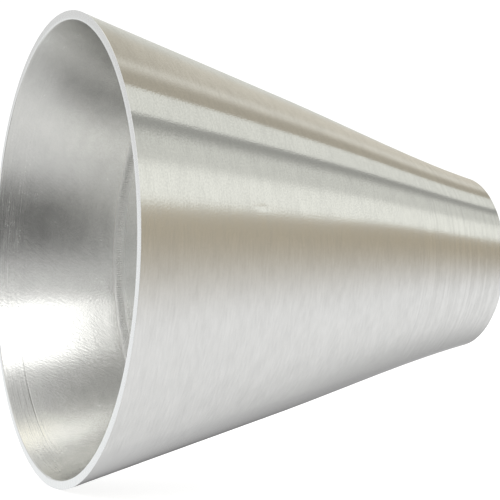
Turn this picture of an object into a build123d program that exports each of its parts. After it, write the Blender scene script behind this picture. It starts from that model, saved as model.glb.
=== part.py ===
"""Concentric reducer, welded from two rolled conical courses.

Frame: origin at the centre of the large-end weld face, +X along the bore towards the small end, +Z up.
Millimetres. Each course is rolled from sheet and closed by a longitudinal seam weld, and a girth weld
joins the two courses.
"""
from build123d import *

import math
import os

# Tube ends that the reducer joins, and its length face to face.
LARGE_DIAMETER = 104.0
SMALL_DIAMETER = 41.0
LENGTH = 102.0

# Wall, measured square to the bore, and the broken edges of each weld face.
WALL = 2.0
INNER_EDGE_BREAK = 0.25
OUTER_EDGE_BREAK = 0.1

# The cone: drop in radius over the straight part of its length, then a slight hollow to the small end.
STRAIGHT_LENGTH = 50.0
CONE_ANGLE = 17.1
HOLLOW_STATION = 80.0
HOLLOW_DEPTH = 0.5
SMALL_END_ANGLE = 14.6

# Girth weld between the courses: root bead inside, ground flush outside.
GIRTH_STATION = 29.0
GIRTH_CAP_WIDTH = 3.6
GIRTH_ROOT_WIDTH = 2.5
GIRTH_ROOT_HEIGHT = 0.2

# Longitudinal seams, dressed flush. Angles run from +Z (top) towards +Y.
SEAM_WIDTH = 3.0
LARGE_SEAM_ANGLE = 176.0
MAIN_SEAM_ANGLE = 26.0

LARGE_RADIUS = LARGE_DIAMETER / 2
SMALL_RADIUS = SMALL_DIAMETER / 2


def drop(length, angle):
    """Fall in radius over a length of wall that leans by an angle."""
    return length * math.tan(math.radians(angle))


def straight_radius(station):
    """Outer radius on the straight part of the cone."""
    return LARGE_RADIUS - drop(station, CONE_ANGLE)


def hollow_radius():
    """Outer radius where the wall dips most below a straight line to the small end."""
    start = straight_radius(STRAIGHT_LENGTH)
    share = (HOLLOW_STATION - STRAIGHT_LENGTH) / (LENGTH - STRAIGHT_LENGTH)
    return start + (SMALL_RADIUS - start) * share - HOLLOW_DEPTH


def lean(angle):
    """Direction down the wall for a lean angle, in the outline's plane."""
    return Vector(1, 0).rotate(Axis.Z, -angle)


def hollow_curve(inset):
    """Wall line from the end of the straight part to the small end, set in by an inset in radius."""
    points = [
        (STRAIGHT_LENGTH, straight_radius(STRAIGHT_LENGTH) - inset),
        (HOLLOW_STATION, hollow_radius() - inset),
        (LENGTH, SMALL_RADIUS - inset),
    ]
    return Spline(*points, tangents=[lean(CONE_ANGLE), lean(SMALL_END_ANGLE)])


def lathe(outline):
    """Turn a closed outline, drawn as station by radius, about the bore axis."""
    return revolve(make_face(outline), axis=Axis.X)


def end_edges(solid, station):
    """The round edges of a weld face, from the bore outwards."""
    rims = solid.edges().filter_by(GeomType.CIRCLE).filter_by_position(Axis.X, station, station)
    return rims.sort_by(SortBy.RADIUS)


def break_end_edges(solid, station):
    """Chamfer the two round edges of a weld face, the inner one first."""
    solid = chamfer(end_edges(solid, station)[0], INNER_EDGE_BREAK)
    return chamfer(end_edges(solid, station)[-1], OUTER_EDGE_BREAK)


def large_ring():
    """Large course before its seam is cut out: rim to the girth weld's near fusion line."""
    cap_edge = GIRTH_STATION - GIRTH_CAP_WIDTH / 2
    root_edge = GIRTH_STATION - GIRTH_ROOT_WIDTH / 2
    outline = Polyline(
        (0, LARGE_RADIUS - WALL),
        (0, LARGE_RADIUS),
        (cap_edge, straight_radius(cap_edge)),
        (root_edge, straight_radius(root_edge) - WALL),
        close=True,
    )
    return break_end_edges(lathe(outline), 0)


def main_ring():
    """Main course before its seam is cut out: far fusion line to the small end."""
    cap_edge = GIRTH_STATION + GIRTH_CAP_WIDTH / 2
    root_edge = GIRTH_STATION + GIRTH_ROOT_WIDTH / 2
    outside = hollow_curve(0)
    inside = hollow_curve(WALL)
    outline = [
        Line((root_edge, straight_radius(root_edge) - WALL), (cap_edge, straight_radius(cap_edge))),
        Line((cap_edge, straight_radius(cap_edge)), outside @ 0),
        outside,
        Line(outside @ 1, inside @ 1),
        inside,
        Line(inside @ 0, (root_edge, straight_radius(root_edge) - WALL)),
    ]
    return break_end_edges(lathe(outline), LENGTH)


def girth_weld():
    """Ring of weld metal between the courses, with its root bead standing a little into the bore."""
    cap = [GIRTH_STATION + side * GIRTH_CAP_WIDTH / 2 for side in (-1, 1)]
    root = [GIRTH_STATION + side * GIRTH_ROOT_WIDTH / 2 for side in (-1, 1)]
    cap_near, cap_far = [(station, straight_radius(station)) for station in cap]
    root_near, root_far = [(station, straight_radius(station) - WALL) for station in root]
    crest = (GIRTH_STATION, straight_radius(GIRTH_STATION) - WALL - GIRTH_ROOT_HEIGHT)
    outline = [
        Line(root_near, cap_near),
        Line(cap_near, cap_far),
        Line(cap_far, root_far),
        ThreePointArc(root_far, crest, root_near),
    ]
    return lathe(outline)


def seam_slab(angle):
    """Slab along the bore that marks out a longitudinal seam on one side of the cone."""
    slab = Box(LENGTH, SEAM_WIDTH, LARGE_RADIUS, align=(Align.MIN, Align.CENTER, Align.MIN))
    return Rot(-angle, 0, 0) * slab


def courses():
    """The two courses and their seams, each course open along its seam."""
    large, main = large_ring(), main_ring()
    large_slab, main_slab = seam_slab(LARGE_SEAM_ANGLE), seam_slab(MAIN_SEAM_ANGLE)
    return {
        "large_course": large - large_slab,
        "large_course_seam_weld": large & large_slab,
        "main_course": main - main_slab,
        "main_course_seam_weld": main & main_slab,
    }


def main():
    pieces = courses()
    pieces["girth_weld"] = girth_weld()
    os.makedirs("parts", exist_ok=True)
    for node, solid in pieces.items():
        export_step(solid, f"parts/{node}.step")


main()
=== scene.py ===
import math

import bmesh
import bpy
import numpy as np
from mathutils import Matrix, Vector


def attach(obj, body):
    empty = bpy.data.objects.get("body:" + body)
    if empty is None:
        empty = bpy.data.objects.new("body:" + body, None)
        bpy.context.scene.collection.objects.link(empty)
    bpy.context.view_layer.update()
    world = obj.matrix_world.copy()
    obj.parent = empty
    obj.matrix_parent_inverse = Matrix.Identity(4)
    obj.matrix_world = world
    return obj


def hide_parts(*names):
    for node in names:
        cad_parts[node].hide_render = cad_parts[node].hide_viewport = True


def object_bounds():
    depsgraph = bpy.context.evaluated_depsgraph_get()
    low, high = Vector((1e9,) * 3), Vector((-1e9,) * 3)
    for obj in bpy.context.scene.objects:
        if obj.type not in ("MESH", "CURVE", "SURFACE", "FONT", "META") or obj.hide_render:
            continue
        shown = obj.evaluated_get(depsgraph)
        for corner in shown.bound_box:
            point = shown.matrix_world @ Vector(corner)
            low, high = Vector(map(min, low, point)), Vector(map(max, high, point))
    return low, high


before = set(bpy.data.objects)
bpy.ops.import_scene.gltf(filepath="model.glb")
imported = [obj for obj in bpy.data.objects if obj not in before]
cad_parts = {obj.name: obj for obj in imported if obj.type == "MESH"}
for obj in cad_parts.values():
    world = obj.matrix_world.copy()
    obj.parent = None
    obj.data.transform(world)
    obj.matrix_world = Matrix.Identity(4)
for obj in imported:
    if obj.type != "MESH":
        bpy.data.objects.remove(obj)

CAD_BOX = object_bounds()
MM = 0.001

# Every size is in millimetres. A station is a distance along the bore from the large end's rim, and an
# angle is taken about the bore from straight up towards the far side.

# The shell.
LENGTH = CAD_BOX[1].x / MM
LARGE_RADIUS = 52.0
SMALL_RADIUS = 20.5
WALL = 2.0
INNER_BREAK = 0.25
OUTER_BREAK = 0.1
STRAIGHT_LENGTH = 50.0
CONE_SLOPE = math.tan(math.radians(17.1))
HOLLOW_DEPTH = 0.5

# The rim's outer half, filed back, with the rounding of its corners.
LAND_WIDTH = 1.0
LAND_DROP = 0.12
LAND_EDGE = 0.05

# The girth weld.
GIRTH_STATION = 29.0
CAP_HALF = 1.8
ROOT_HALF = 1.25
ROOT_PROUD = 0.03
RIPPLE_PITCH = 0.55
RIPPLE_HEIGHT = 0.05

# The two shallow toes of its root: a share of the way from the middle to the edge, half a width in the same
# measure, and a depth.
ROOT_TOES = ((-0.8, 0.16, 0.025), (0.75, 0.14, 0.02))

# The longitudinal seams.
SEAM_HALF = 1.5
SEAM_PROUD = 0.03
LARGE_SEAM_ANGLE = math.radians(176.0)
MAIN_SEAM_ANGLE = math.radians(26.0)

# Marks left by making it. A tool band is a station, its half width and its depth.
LOBE_DEPTH = 0.035
RIPPLE_DEPTH = 0.012
TOOL_BANDS = ((77.0, 1.3, 0.012), (84.0, 1.0, 0.014), (94.3, 0.6, 0.016))
FLAT_SPOT_STATION = 30.3
FLAT_SPOT_ANGLE = math.radians(-78.0)
FLAT_SPOT_RADIUS = 43.0
FLAT_SPOT_DEPTH = 0.03
DRAW_DEPTH = 0.03
TOOL_LINE_STATION = 4.9
TOOL_LINE_ANGLE = 2.36
TOOL_LINE_DEPTH = 0.06
MARK_FREE_END = 8.0

# Columns of points round each ring and across a seam. The girth weld has enough of them for its ripples.
LARGE_COURSE_COLUMNS = 640
MAIN_COURSE_COLUMNS = 600
GIRTH_WELD_COLUMNS = 3200
SEAM_COLUMNS = 9


# ---------------------------------------------------------------- shape of the wall

def outside_radius(x):
    """Outer radius of the cone at stations x: a straight taper, then a slight hollow to the small end."""
    x = np.asarray(x, float)
    straight = LARGE_RADIUS - x * CONE_SLOPE
    start_radius = LARGE_RADIUS - STRAIGHT_LENGTH * CONE_SLOPE
    share = np.clip((x - STRAIGHT_LENGTH) / (LENGTH - STRAIGHT_LENGTH), 0, 1)
    # This cubic is 1 where it is highest, at two thirds of the way.
    dip = 27 / 4 * share**2 * (1 - share)
    hollow = start_radius + (SMALL_RADIUS - start_radius) * share - HOLLOW_DEPTH * dip
    return np.where(x < STRAIGHT_LENGTH, straight, hollow)


def bump(value, centre, width):
    """Smooth hump of height 1, nearly gone at twice its width from the centre."""
    return np.exp(-(((value - centre) / width) ** 2))


def around(angle, centre):
    """Angle from a centre, wrapped to half a turn either way."""
    return (angle - centre + math.pi) % (2 * math.pi) - math.pi


def rolled_waviness(x, angle):
    """Slight lack of roundness left by rolling, always inwards."""
    lobes = 0.5 + 0.5 * np.sin(3 * angle + 0.6 + 0.01 * x)
    ripple = 0.5 + 0.5 * np.sin(11 * angle + 0.05 * x) * np.sin(0.09 * x + 2 * angle)
    return -(LOBE_DEPTH * lobes + RIPPLE_DEPTH * ripple)


def outer_relief(x, angle):
    """Height of the outside above the plain cone: waviness, tool bands and a spot ground flat."""
    fade = np.clip(x / MARK_FREE_END, 0, 1) * np.clip((LENGTH - x) / MARK_FREE_END, 0, 1)
    bands = sum(depth * bump(x, station, half) for station, half, depth in TOOL_BANDS)
    sideways = around(angle, FLAT_SPOT_ANGLE) * FLAT_SPOT_RADIUS
    flat_spot = FLAT_SPOT_DEPTH * bump(x, FLAT_SPOT_STATION, 1.9) * bump(sideways, 0, 0.7)
    return rolled_waviness(x, angle) * fade - bands - flat_spot


def inner_relief(x, angle):
    """Height of the inside above the plain cone, towards the bore: weld draw and an old tool line."""
    fade = np.clip(x / MARK_FREE_END, 0, 1)
    draw = DRAW_DEPTH * bump(x, GIRTH_STATION - 2.0, 2.0)
    low_down = 0.5 - 0.5 * np.cos(angle)
    cut_in = 0.15 * low_down + 0.85 * bump(around(angle, TOOL_LINE_ANGLE), 0, 0.26)
    tool_line = TOOL_LINE_DEPTH * bump(x, TOOL_LINE_STATION, 0.13) * cut_in
    return -rolled_waviness(x, angle) * fade + draw - tool_line


def root_relief(x, angle):
    """Height of the weld root above the inside: a low rippled bead between two shallow toes."""
    waver = 0.12 * np.sin(9 * angle + 1.0) + 0.07 * np.sin(31 * angle)
    offset = (x - GIRTH_STATION - waver) / ROOT_HALF
    toes = -sum(depth * bump(offset, centre, half) for centre, half, depth in ROOT_TOES)
    bead = ROOT_PROUD * np.clip(1 - offset**2, 0, 1)
    count = round(2 * math.pi * float(outside_radius(GIRTH_STATION) - WALL) / RIPPLE_PITCH)
    wander = 0.6 * np.sin(7 * angle + 1.3) + 0.5 * np.sin(23 * angle)
    ripple = RIPPLE_HEIGHT * np.sin(count * angle + 1.8 * offset**2 + wander) * bump(offset, 0.05, 0.55)
    # The relief runs out to nothing over the last tenth, where the weld meets the courses.
    edge = np.clip((1 - abs(x - GIRTH_STATION) / ROOT_HALF) / 0.1, 0, 1)
    return (toes + bead + ripple) * edge


def outer_point(x, angle):
    """Radius of the finished outside."""
    return outside_radius(x) + outer_relief(x, angle)


def inner_point(x, angle):
    """Radius of the finished inside."""
    return outside_radius(x) - WALL - inner_relief(x, angle)


def spun(x, radius, angle):
    """Points at one station, from their radii and angles."""
    return np.stack([np.full_like(angle, x), radius * np.sin(angle), radius * np.cos(angle)], 1)


# ---------------------------------------------------------------- meshes

def stations(*spans):
    """Stations along the bore from (start, end, spacing) spans, ends included once."""
    values = []
    for start, end, spacing in spans:
        count = max(1, round(abs(end - start) / spacing))
        values.extend(np.linspace(start, end, count + 1)[:-1])
    values.append(spans[-1][1])
    return np.array(values)


def corner(start, control, end, steps=3):
    """Points of a small rounded corner, ends left out."""
    share = np.linspace(0, 1, steps + 2)[1:-1, None]
    start, control, end = (np.array(point, float) for point in (start, control, end))
    return (1 - share) ** 2 * start + 2 * share * (1 - share) * control + share**2 * end


# Material slots of the shells and welds, and the two sides of the wall.
OUTSIDE, INSIDE, CUT = 0, 1, 2


class Loop:
    """A closed outline in the plane of the bore axis, turned into a ring of wall.

    Each row has a station, its side of the wall, the material slot of its face, and a depth below the
    plain outside, or None where it follows the finished surface of its side.
    """

    def __init__(self):
        self.x = []
        self.depth = []
        self.side = []
        self.face = []

    def wall(self, values, side):
        """A row of points on the outside or inside of the wall."""
        for x in values:
            self.x.append(x)
            self.depth.append(None)
            self.side.append(side)
            self.face.append(side)

    def edge(self, points, side, face=CUT):
        """Points given as station and depth below the outside, such as an end face or a corner."""
        for x, depth in points:
            self.x.append(x)
            self.depth.append(depth)
            self.side.append(side)
            self.face.append(face)

    def radius(self, row, angle):
        """Radius of one row at angles about the bore."""
        x = self.x[row]
        if self.depth[row] is not None:
            return np.full_like(angle, float(outside_radius(x)) - self.depth[row])
        if self.side[row] == OUTSIDE:
            return outer_point(x, angle)
        return inner_point(x, angle)


def wall_faces(row_slots, width, closed):
    """Faces between the rows of an outline carried across columns, and their material slots."""
    rows = len(row_slots)
    faces = []
    slots = []
    for row in range(rows):
        below = (row + 1) % rows
        slot = row_slots[row] if row_slots[row] == row_slots[below] else CUT
        for column in range(width if closed else width - 1):
            right = (column + 1) % width
            near = (row * width + column, row * width + right)
            far = (below * width + right, below * width + column)
            faces.append(near + far)
            slots.append(slot)
    if not closed:
        faces.append([row * width for row in range(rows)])
        faces.append([row * width + width - 1 for row in reversed(range(rows))])
        slots += [CUT, CUT]
    return faces, slots


def finish_mesh(mesh):
    """Point the faces outwards and shade smooth between sharp corners."""
    work = bmesh.new()
    work.from_mesh(mesh)
    bmesh.ops.recalc_face_normals(work, faces=work.faces)
    work.to_mesh(mesh)
    work.free()
    mesh.polygons.foreach_set("use_smooth", [True] * len(mesh.polygons))
    mesh.set_sharp_from_angle(angle=math.radians(25))
    mesh.update()


def wall_mesh(name, points, row_slots, closed):
    """A closed piece from its points by row and column. An open sweep gets a face at each end."""
    faces, slots = wall_faces(row_slots, points.shape[1], closed)
    mesh = bpy.data.meshes.new(name)
    mesh.from_pydata((points.reshape(-1, 3) * MM).tolist(), [], faces)
    mesh.polygons.foreach_set("material_index", slots)
    finish_mesh(mesh)
    return mesh


def ring_mesh(name, loop, columns, seam=None, height=None):
    """Turn a loop about the bore. With a seam angle the ring stops at the seam's two sides."""
    closed = seam is None
    turns = np.arange(columns if closed else columns + 1) / columns
    rows = []
    for row, x in enumerate(loop.x):
        angle = turns * 2 * math.pi
        if not closed:
            depth = WALL if loop.side[row] == INSIDE else 0
            half = math.asin(SEAM_HALF / float(outside_radius(x) - depth))
            angle = seam + half + turns * (2 * math.pi - 2 * half)
        radius = loop.radius(row, angle)
        if height is not None and loop.face[row] == INSIDE:
            radius = radius - height(x, angle)
        rows.append(spun(x, radius, angle))
    return wall_mesh(name, np.array(rows), loop.face, closed)


def place(mesh, materials, node):
    """Make a piece that stands for a CAD node and rides on the body."""
    piece = bpy.data.objects.new(mesh.name, mesh)
    bpy.context.scene.collection.objects.link(piece)
    for material in materials:
        mesh.materials.append(material)
    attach(piece, "root")
    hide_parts(node)
    return piece


def broken_inner_edge(end, inward):
    """The rounded edge between an end face and the bore, from the bore outwards."""
    break_station = end + inward * INNER_BREAK
    return corner((break_station, WALL), (end, WALL), (end, WALL - INNER_BREAK))


def large_course(materials):
    """The course at the large end, from its rim to the girth weld. The rim's outer half is filed back."""
    loop = Loop()
    loop.wall(stations((LAND_DROP + LAND_EDGE, 2, 0.5), (2, GIRTH_STATION - CAP_HALF, 1.2)), OUTSIDE)
    # The spacing is finest across the tool line.
    near_mouth = ((20, 7, 1.2), (7, 5.3, 0.25), (5.3, 4.5, 0.07), (4.5, INNER_BREAK, 0.2))
    loop.wall(stations((GIRTH_STATION - ROOT_HALF, 20, 0.4), *near_mouth), INSIDE)
    loop.edge(broken_inner_edge(0, 1), INSIDE, INSIDE)
    loop.edge([(0, WALL - INNER_BREAK), (0, LAND_WIDTH + 0.08)], INSIDE)
    # The filed half slopes back from the rim's plane, and its two ends are slightly rounded.
    land_start = (0.05 * LAND_DROP, LAND_WIDTH - LAND_EDGE)
    land_end = (0.96 * LAND_DROP, LAND_EDGE + 0.04)
    loop.edge([land_start, land_end, (LAND_DROP, LAND_EDGE)], OUTSIDE)
    mesh = ring_mesh("large_course_shell", loop, LARGE_COURSE_COLUMNS, LARGE_SEAM_ANGLE)
    return place(mesh, materials, "large_course")


def main_course(materials):
    """The course from the girth weld down to the small end."""
    loop = Loop()
    loop.wall(stations((GIRTH_STATION + CAP_HALF, 74, 1.6), (74, LENGTH - OUTER_BREAK, 0.55)), OUTSIDE)
    loop.edge(corner((LENGTH - OUTER_BREAK, 0), (LENGTH, 0), (LENGTH, OUTER_BREAK)), OUTSIDE)
    loop.edge([(LENGTH, OUTER_BREAK), (LENGTH, WALL - INNER_BREAK)], OUTSIDE)
    loop.edge(reversed(broken_inner_edge(LENGTH, -1)), INSIDE, INSIDE)
    loop.wall(stations((LENGTH - INNER_BREAK, 40, 2.0), (40, GIRTH_STATION + ROOT_HALF, 0.5)), INSIDE)
    mesh = ring_mesh("main_course_shell", loop, MAIN_COURSE_COLUMNS, MAIN_SEAM_ANGLE)
    return place(mesh, materials, "main_course")


def girth_weld(materials):
    """The weld ring between the courses, flush outside, with a rippled root bead inside."""
    loop = Loop()
    loop.wall(stations((GIRTH_STATION - CAP_HALF, GIRTH_STATION + CAP_HALF, 0.9)), OUTSIDE)
    loop.wall(stations((GIRTH_STATION + ROOT_HALF, GIRTH_STATION - ROOT_HALF, 0.18)), INSIDE)
    mesh = ring_mesh("girth_weld_bead", loop, GIRTH_WELD_COLUMNS, height=root_relief)
    return place(mesh, materials, "girth_weld")


def seam_mesh(name, outside, inside, front, seam):
    """A strip of weld metal that fills the gap in a course, flush outside and just proud inside.

    Its outline runs along the outside stations, back along the inside ones, then through the front's
    points, each a station and a depth below the outside.
    """
    across = np.linspace(-1, 1, SEAM_COLUMNS)
    outline = [(x, 0.0, OUTSIDE) for x in outside]
    outline += [(x, WALL, INSIDE) for x in inside]
    outline += [(x, depth, CUT) for x, depth in front]
    rows = []
    for x, depth, face in outline:
        angle = seam + across * math.asin(SEAM_HALF / float(outside_radius(x) - depth))
        radius = outside_radius(x) - depth + 0 * angle
        if face == OUTSIDE:
            radius = outer_point(x, angle)
        if face == INSIDE:
            # Proud over nearly all its width, and level with the wall at its two sides.
            radius = inner_point(x, angle) - SEAM_PROUD * (1 - across**8)
        rows.append(spun(x, radius, angle))
    return wall_mesh(name, np.array(rows), [face for _x, _depth, face in outline], False)


def seam_welds(materials):
    """The two longitudinal seam welds. The one at the large end follows the rim's filed outer half."""
    outside = stations((LAND_DROP + LAND_EDGE, GIRTH_STATION - CAP_HALF, 1.0))
    inside = stations((GIRTH_STATION - ROOT_HALF, INNER_BREAK, 0.5))
    front = [(0, WALL - INNER_BREAK), (0, LAND_WIDTH), (LAND_DROP, LAND_EDGE)]
    mesh = seam_mesh("large_course_seam", outside, inside, front, LARGE_SEAM_ANGLE)
    place(mesh, materials, "large_course_seam_weld")
    outside = stations((GIRTH_STATION + CAP_HALF, LENGTH, 1.0))
    inside = stations((LENGTH, GIRTH_STATION + ROOT_HALF, 1.0))
    mesh = seam_mesh("main_course_seam", outside, inside, [], MAIN_SEAM_ANGLE)
    place(mesh, materials, "main_course_seam_weld")


# ---------------------------------------------------------------- materials

# The plate is unrolled at this radius, so that marks are measured in millimetres.
PLATE_RADIUS = 42.0

# Each surface runs between a darker and a lighter colour.
BRUSHED_COLOURS = ((0.63, 0.63, 0.623), (0.70, 0.70, 0.692))
SATIN_COLOURS = ((0.68, 0.68, 0.66), (0.73, 0.73, 0.708))
ROOT_COLOURS = ((0.72, 0.72, 0.70), (0.80, 0.80, 0.78))
CUT_COLOURS = ((0.79, 0.795, 0.79), (0.85, 0.855, 0.85))

# Depth of each surface's fine marks, in millimetres.
BRUSHED_DEPTH = 0.012
SATIN_DEPTH = 0.032
ROOT_DEPTH = 0.03
CUT_DEPTH = 0.004

# Between these stations the outside turns from plain brushing to the worked small end, and the turned
# lines inside the mouth fade.
WORKED_START = (70.0, 80.0)
TURNED_LINES_END = (4.0, 9.0)


def new_material(name):
    """A material with one Principled shader."""
    material = bpy.data.materials.new(name)
    material.use_nodes = True
    nodes = material.node_tree.nodes
    nodes.clear()
    shader = nodes.new("ShaderNodeBsdfPrincipled")
    output = nodes.new("ShaderNodeOutputMaterial")
    material.node_tree.links.new(shader.outputs["BSDF"], output.inputs["Surface"])
    return material, material.node_tree, shader


def steel(name):
    """A bare metal material."""
    material, tree, shader = new_material(name)
    shader.inputs["Metallic"].default_value = 1.0
    return material, tree, shader


def math_node(tree, operation, *values):
    """A math node whose inputs are numbers or other nodes' outputs."""
    node = tree.nodes.new("ShaderNodeMath")
    node.operation = operation
    for socket, value in zip(node.inputs, values):
        if isinstance(value, (int, float)):
            socket.default_value = value
        else:
            tree.links.new(value, socket)
    return node.outputs[0]


def product(tree, first, second):
    """Two values multiplied."""
    return math_node(tree, "MULTIPLY", first, second)


def weighted(tree, *pairs):
    """Sum of (value, weight) pairs."""
    total = None
    for value, weight in pairs:
        part = product(tree, value, weight)
        total = part if total is None else math_node(tree, "ADD", total, part)
    return total


def centred(tree, noise):
    """A noise from 0 to 1, moved to run from -0.5 to 0.5."""
    return math_node(tree, "SUBTRACT", noise, 0.5)


def remap(tree, value, low, high, to_low, to_high, smooth=False):
    """Carry a value from one range to another, held at its ends."""
    node = tree.nodes.new("ShaderNodeMapRange")
    node.interpolation_type = "SMOOTHSTEP" if smooth else "LINEAR"
    node.inputs["From Min"].default_value = low
    node.inputs["From Max"].default_value = high
    node.inputs["To Min"].default_value = to_low
    node.inputs["To Max"].default_value = to_high
    tree.links.new(value, node.inputs["Value"])
    return node.outputs["Result"]


def ramp(tree, value, low, high):
    """A smooth rise from 0 at one value to 1 at another, held beyond them."""
    return remap(tree, value, low, high, 0, 1, smooth=True)


def blend(tree, factor, under, over):
    """Lay one colour over another by a factor. Each is three numbers or a node's output."""
    node = tree.nodes.new("ShaderNodeMix")
    node.data_type = "RGBA"
    tree.links.new(factor, node.inputs["Factor"])
    for name, colour in (("A", under), ("B", over)):
        if isinstance(colour, tuple):
            node.inputs[name].default_value = (*colour, 1)
        else:
            tree.links.new(colour, node.inputs[name])
    return node.outputs["Result"]


def axes(tree, space):
    """The three coordinates of a texture space, such as Object."""
    coordinates = tree.nodes.new("ShaderNodeTexCoord")
    split = tree.nodes.new("ShaderNodeSeparateXYZ")
    tree.links.new(coordinates.outputs[space], split.inputs[0])
    return [split.outputs[axis] for axis in "XYZ"]


def skin(tree, seam):
    """Millimetres along the bore and round it from the seam, as if the plate were unrolled."""
    x, y, z = axes(tree, "Object")
    angle = math_node(tree, "ARCTAN2", y, z)
    turn = math_node(tree, "WRAP", math_node(tree, "SUBTRACT", angle, seam), math.pi, -math.pi)
    return product(tree, x, 1 / MM), product(tree, turn, PLATE_RADIUS)


def height_share(tree):
    """How far up the part a point lies: 1 at the top, -1 at the bottom."""
    _x, y, z = axes(tree, "Object")
    return math_node(tree, "COSINE", math_node(tree, "ARCTAN2", y, z))


def grain(tree, plate, length_along, length_around, lean=0.0, detail=2.0, offset=0.0):
    """Noise on the unrolled plate, with marks of the given size in millimetres.

    A lean angle turns the marks, and an offset gives a noise a pattern of its own.
    """
    along, around_bore = plate
    straight = math.cos(lean)
    slant = math.sin(lean)
    lengthwise = weighted(tree, (along, straight), (around_bore, slant))
    crosswise = weighted(tree, (around_bore, straight), (along, -slant))
    join = tree.nodes.new("ShaderNodeCombineXYZ")
    tree.links.new(math_node(tree, "DIVIDE", lengthwise, length_along), join.inputs["X"])
    tree.links.new(math_node(tree, "DIVIDE", crosswise, length_around), join.inputs["Y"])
    join.inputs["Z"].default_value = offset
    noise = tree.nodes.new("ShaderNodeTexNoise")
    noise.inputs["Scale"].default_value = 1.0
    noise.inputs["Detail"].default_value = detail
    noise.inputs["Roughness"].default_value = 0.55
    tree.links.new(join.outputs[0], noise.inputs["Vector"])
    return noise.outputs["Fac"]


def add_bump(tree, shader, height, depth):
    """Bump of a height from 0 to 1 that stands for a depth in millimetres."""
    node = tree.nodes.new("ShaderNodeBump")
    node.inputs["Strength"].default_value = 1.0
    node.inputs["Distance"].default_value = depth * MM
    tree.links.new(height, node.inputs["Height"])
    tree.links.new(node.outputs["Normal"], shader.inputs["Normal"])


def brush_round(tree, shader, strength):
    """Stretch the highlights as brushing round the bore does."""
    shader.inputs["Anisotropic"].default_value = strength
    shader.inputs["Anisotropic Rotation"].default_value = 0.25
    node = tree.nodes.new("ShaderNodeTangent")
    node.direction_type = "RADIAL"
    node.axis = "X"
    tree.links.new(node.outputs["Tangent"], shader.inputs["Tangent"])


def brushed_outside(name, seam):
    """Circumferential brushing over the whole outside, coarser towards the small end, with painted glints
    in its speckle towards the top.
    """
    material, tree, shader = steel(name)
    plate = skin(tree, seam)
    along = plate[0]
    speckle = grain(tree, plate, 0.32, 0.45, detail=1.0)
    streak = grain(tree, plate, 0.5, 3.5, offset=3.0, detail=1.0)
    broad = grain(tree, plate, 3.0, 9.0, offset=7.0)
    rings = grain(tree, plate, 0.9, 60.0, offset=5.0)
    worked = ramp(tree, along, *WORKED_START)
    ring_tone = product(tree, centred(tree, rings), worked)
    # The speckle's share in the colour grows towards the top: partly the steel's own grain, and partly
    # painted glints where the light catches the top.
    glint_share = remap(tree, height_share(tree), -0.1, 0.3, 0.25, 1.0, smooth=True)
    sparkle = product(tree, centred(tree, speckle), glint_share)
    sparkle = product(tree, sparkle, math_node(tree, "MULTIPLY_ADD", worked, 0.6, 1.0))
    tone = weighted(tree, (sparkle, 1.0), (streak, 0.5), (broad, 0.5), (ring_tone, 1.3))
    colour = blend(tree, remap(tree, tone, 0.3, 0.7, 0, 1), *BRUSHED_COLOURS)
    tree.links.new(colour, shader.inputs["Base Color"])
    tree.links.new(remap(tree, tone, 0.35, 0.65, 0.18, 0.14), shader.inputs["Roughness"])
    marks = weighted(tree, (speckle, 0.75), (streak, 0.25), (ring_tone, 1.0))
    add_bump(tree, shader, marks, BRUSHED_DEPTH)
    brush_round(tree, shader, 1.0)
    return material


def satin_inside(name, seam):
    """Smoother inside with slanting polishing marks, coarser below, and turned lines near the mouth."""
    material, tree, shader = steel(name)
    plate = skin(tree, seam)
    along = plate[0]
    fine = grain(tree, plate, 0.5, 0.6)
    slant = grain(tree, plate, 0.4, 2.4, lean=-0.9, offset=5.0)
    lines = grain(tree, plate, 0.35, 9.0, offset=9.0)
    cloud = grain(tree, plate, 4.0, 6.0, offset=2.0)
    near_mouth = remap(tree, along, *TURNED_LINES_END, 1.0, 0.1, smooth=True)
    low_down = remap(tree, height_share(tree), 0.2, 0.8, 1.0, 0.2, smooth=True)
    line_tone = product(tree, centred(tree, lines), product(tree, near_mouth, low_down))
    tone = weighted(tree, (fine, 0.3), (slant, 0.2), (cloud, 0.5), (line_tone, 0.8))
    colour = blend(tree, remap(tree, tone, 0.4, 0.6, 0, 1), *SATIN_COLOURS)
    tree.links.new(colour, shader.inputs["Base Color"])
    tree.links.new(remap(tree, tone, 0.3, 0.7, 0.22, 0.28), shader.inputs["Roughness"])
    coarser = remap(tree, height_share(tree), 0.4, -0.5, 0.65, 1.4, smooth=True)
    marks = product(tree, weighted(tree, (fine, 0.5), (slant, 0.45)), coarser)
    add_bump(tree, shader, weighted(tree, (marks, 1.0), (line_tone, 1.8)), SATIN_DEPTH)
    brush_round(tree, shader, 0.5)
    return material


def weld_root():
    """Undressed weld metal of the root bead, dullest along its near half."""
    material, tree, shader = steel("weld_root")
    plate = skin(tree, 0.0)
    along = plate[0]
    fine = grain(tree, plate, 0.3, 0.4)
    colour = blend(tree, remap(tree, fine, 0.35, 0.65, 0, 1), *ROOT_COLOURS)
    tree.links.new(colour, shader.inputs["Base Color"])
    rise = ramp(tree, along, GIRTH_STATION - ROOT_HALF, GIRTH_STATION - 0.5)
    fall = remap(tree, along, GIRTH_STATION - 0.4, GIRTH_STATION + 0.7, 1.0, 0.3, smooth=True)
    dull = product(tree, rise, fall)
    tree.links.new(math_node(tree, "MULTIPLY_ADD", dull, 0.2, 0.32), shader.inputs["Roughness"])
    add_bump(tree, shader, fine, ROOT_DEPTH)
    return material


def cut_face():
    """The bright, squared-off weld faces."""
    material, tree, shader = steel("cut_face")
    fine = grain(tree, skin(tree, 0.0), 0.3, 0.5)
    tree.links.new(blend(tree, fine, *CUT_COLOURS), shader.inputs["Base Color"])
    tree.links.new(remap(tree, fine, 0.3, 0.7, 0.22, 0.30), shader.inputs["Roughness"])
    add_bump(tree, shader, fine, CUT_DEPTH)
    return material


# ---------------------------------------------------------------- studio

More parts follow.
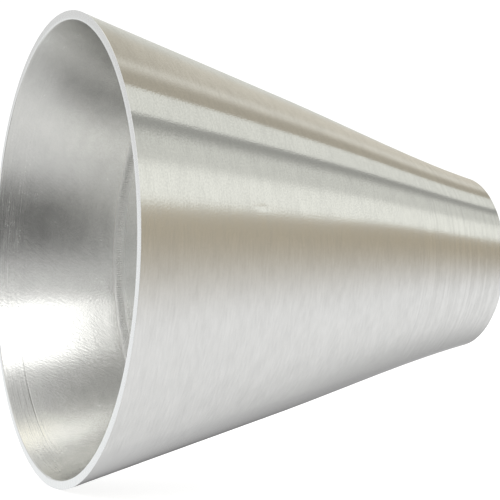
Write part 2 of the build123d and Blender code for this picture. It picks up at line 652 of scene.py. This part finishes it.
# Tints of the light.
NEUTRAL = (1.0, 1.0, 0.995)
PALE = (1.003, 1.01, 0.935)
COOL = (0.985, 1.0, 1.01)
WARM = (1.035, 1.0, 0.89)
SAND = (1.06, 1.0, 0.86)
BEIGE = (1.085, 1.0, 0.81)
BROWN = (1.13, 0.995, 0.75)
YELLOW = (1.04, 1.01, 0.87)

# The studio's soft boxes and dark cards all run out from one point behind the part, SOURCE, given by its
# distance towards the far side. A screen is its name; its turn round that point, from straight up towards
# the far side, half its width and the softness of its edges, in degrees; how far its turn drifts per unit
# of lean towards the small end, counted from DRIFT_LEAN; its brightness; and its tint. Later screens lie
# over earlier ones.
SOURCE = 0.91
DRIFT_LEAN = 0.77
AHEAD_SCREENS = (
    ("far_glow", 80, 50, 60, 0, 1.1, NEUTRAL),
    ("ceiling", -22, 25, 10, 15, 0.80, PALE),
    ("beige_wash", -38, 9, 8, -30, 0.74, SAND),
    ("rim_shade", -75.5, 18, 8, -114, 0.42, BEIGE),
    ("lower_room", -115, 34, 2, 0, 1.0, NEUTRAL),
    ("low_sweep", -113, 13, 30, 0, 1.06, NEUTRAL),
    ("floor_card", -163, 27.7, 17.5, 85, 0.14, NEUTRAL),
    ("near_wall", -83.5, 14, 27, 22, 0.475, BROWN),
    ("key_front", -72, 7.8, 1.5, 30, 1.10, PALE),
    ("grey_wash", -60, 8, 3, 20, 0.80, PALE),
    ("grey_card", -55, 3.6, 5, 15, 0.40, PALE),
    ("beige_card", -42.3, 4.2, 5, 10, 0.48, BEIGE),
    ("beige_glow", -32.3, 1.5, 7, 27, 0.86, WARM),
    ("strip_light", -49.3, 4.7, 0.6, 12, 0.94, PALE),
)
BEHIND_SCREENS = (
    ("roof_card", 180, 30, 30, 0, 0.60, NEUTRAL),
    ("side_wash", -131, 5, 16, 0, 0.95, NEUTRAL),
    ("camera", -99, 11.5, 17, 0, 0.12, NEUTRAL),
    ("key_box", -66, 9.3, 5, 0, 2.4, NEUTRAL),
    ("upper_gap", -46, 7, 10, 0, 0.66, NEUTRAL),
    ("rear_lamp", -30, 4, 14, 0, 1.5, YELLOW),
)

# Reflections that lean towards the small end see the screens ahead, and the rest see those behind, on the
# camera's side. A pair of leans says where one gives way to the other.
AHEAD_LEVEL = 0.95
BEHIND_LEVEL = 0.82
AHEAD_LEAN = (0.0, 0.3)

# Reflections that lean far the other way, out of the large end, see a plain room, which is darker low down
# where they lean furthest.
DEEP_LEVEL = 0.97
DEEP_LEAN = (-0.44, -0.60)
END_SHADE_LEVEL = 0.4
END_LEAN = (-0.64, -0.76)

# The rim's face mirrors the far side, which is a little darker above.
RIM_LIGHT_LEVEL = 1.0
RIM_SHADE_LEVEL = 0.76

# What the camera sees behind the part.
BACKDROP_LEVEL = 1.1

# The far side comes in over this share of the way there, and its darker part over this share of the way up.
FAR_SIDE = (0.5, 0.8)
RIM_SHADE_HEIGHT = (0.0, 0.16)


def light(level, tone=NEUTRAL):
    """A colour from a brightness and a tint."""
    return tuple(level * part for part in tone)


def screen_mask(tree, turn, lean, centre, half, soft, drift):
    """How much of a screen a direction sees, from 0 to 1."""
    offset = math_node(tree, "SUBTRACT", turn, centre)
    if drift:
        shift = math_node(tree, "MULTIPLY_ADD", lean, -drift, drift * DRIFT_LEAN)
        offset = math_node(tree, "ADD", offset, shift)
    offset = math_node(tree, "ABSOLUTE", math_node(tree, "WRAP", offset, 180.0, -180.0))
    return remap(tree, offset, half - soft / 2, half + soft / 2, 1, 0, smooth=True)


def room_light(tree, turn, lean, level, screens):
    """A room of one brightness with its screens laid over it in order."""
    room = (level, level, level)
    for _name, centre, half, soft, drift, brightness, tone in screens:
        mask = screen_mask(tree, turn, lean, centre, half, soft, drift)
        room = blend(tree, mask, room, light(brightness, tone))
    return room


def behind_light(tree, turn, lean, far, up):
    """The room behind, the plain room out of the large end, and the far side for the rim's face."""
    room = room_light(tree, turn, lean, BEHIND_LEVEL, BEHIND_SCREENS)
    room = blend(tree, ramp(tree, lean, *DEEP_LEAN), room, light(DEEP_LEVEL))
    height = math_node(tree, "MULTIPLY_ADD", far, 0.5, up)
    low_end = product(tree, ramp(tree, lean, *END_LEAN), ramp(tree, height, 0.5, -0.5))
    room = blend(tree, low_end, room, light(END_SHADE_LEVEL))
    far_side = ramp(tree, far, *FAR_SIDE)
    room = blend(tree, far_side, room, light(RIM_LIGHT_LEVEL, COOL))
    shaded = product(tree, far_side, ramp(tree, up, *RIM_SHADE_HEIGHT))
    return blend(tree, shaded, room, light(RIM_SHADE_LEVEL))


def studio_world():
    """Screens all round for reflections, and plain white for everything else."""
    world = bpy.data.worlds.new("studio")
    bpy.context.scene.world = world
    world.use_nodes = True
    tree = world.node_tree
    tree.nodes.clear()
    lean, far, up = axes(tree, "Generated")
    from_source = math_node(tree, "SUBTRACT", far, SOURCE)
    turn = product(tree, math_node(tree, "ARCTAN2", from_source, up), 180 / math.pi)
    ahead = room_light(tree, turn, lean, AHEAD_LEVEL, AHEAD_SCREENS)
    behind = behind_light(tree, turn, lean, far, up)
    room = blend(tree, ramp(tree, lean, *AHEAD_LEAN), behind, ahead)
    path = tree.nodes.new("ShaderNodeLightPath")
    backdrop = (BACKDROP_LEVEL, BACKDROP_LEVEL, BACKDROP_LEVEL)
    seen = blend(tree, path.outputs["Is Glossy Ray"], backdrop, room)
    background = tree.nodes.new("ShaderNodeBackground")
    tree.links.new(seen, background.inputs["Color"])
    output = tree.nodes.new("ShaderNodeOutputWorld")
    tree.links.new(background.outputs["Background"], output.inputs["Surface"])


# The floor, in metres. It glows, so that it runs into the backdrop.
FLOOR_HALF = 4.0
FLOOR_GREY = (0.6, 0.6, 0.6, 1)
FLOOR_GLOW = 0.65


def floor():
    """Plain pale floor under the rim."""
    mesh = bpy.data.meshes.new("floor")
    corners = ((-1, -1), (1, -1), (1, 1), (-1, 1))
    points = [(x * FLOOR_HALF, y * FLOOR_HALF, CAD_BOX[0].z) for x, y in corners]
    mesh.from_pydata(points, [], [(0, 1, 2, 3)])
    obj = bpy.data.objects.new("floor", mesh)
    bpy.context.scene.collection.objects.link(obj)
    material, _tree, shader = new_material("floor_white")
    shader.inputs["Base Color"].default_value = FLOOR_GREY
    shader.inputs["Roughness"].default_value = 0.9
    shader.inputs["Emission Color"].default_value = (1, 1, 1, 1)
    shader.inputs["Emission Strength"].default_value = FLOOR_GLOW
    mesh.materials.append(material)
    obj.visible_glossy = False


# ---------------------------------------------------------------- camera

# The azimuth is taken from straight in front towards the small end. Places are in metres.
CAMERA_AZIMUTH = math.radians(-24.3)
CAMERA_AIM = Vector((0.0464, 0, -0.0089))
CAMERA_DISTANCE = 0.3737
CAMERA_ROLL = math.radians(1.0)
CAMERA_LENS = 116.9
CAMERA_SHIFT_UP = 0.0892


def camera():
    """The camera looks into the large end from the front left."""
    data = bpy.data.cameras.new("camera")
    data.lens = CAMERA_LENS
    data.sensor_width = 36
    data.shift_y = CAMERA_SHIFT_UP
    obj = bpy.data.objects.new("camera", data)
    bpy.context.scene.collection.objects.link(obj)
    back = Vector((math.sin(CAMERA_AZIMUTH), -math.cos(CAMERA_AZIMUTH), 0))
    turn = (-back).to_track_quat("-Z", "Y").to_matrix().to_4x4() @ Matrix.Rotation(CAMERA_ROLL, 4, "Z")
    obj.matrix_world = Matrix.Translation(CAMERA_AIM + back * CAMERA_DISTANCE) @ turn
    bpy.context.scene.camera = obj


# ---------------------------------------------------------------- scene

camera()
studio_world()
floor()
bpy.context.scene.view_settings.view_transform = "Standard"
cut_metal = cut_face()
large_outside = brushed_outside("brushed_large", LARGE_SEAM_ANGLE)
large_inside = satin_inside("satin_large", LARGE_SEAM_ANGLE)
main_outside = brushed_outside("brushed_main", MAIN_SEAM_ANGLE)
main_inside = satin_inside("satin_main", MAIN_SEAM_ANGLE)
large_course([large_outside, large_inside, cut_metal])
main_course([main_outside, main_inside, cut_metal])
girth_weld([large_outside, weld_root(), cut_metal])
seam_welds([large_outside, large_inside, cut_metal])
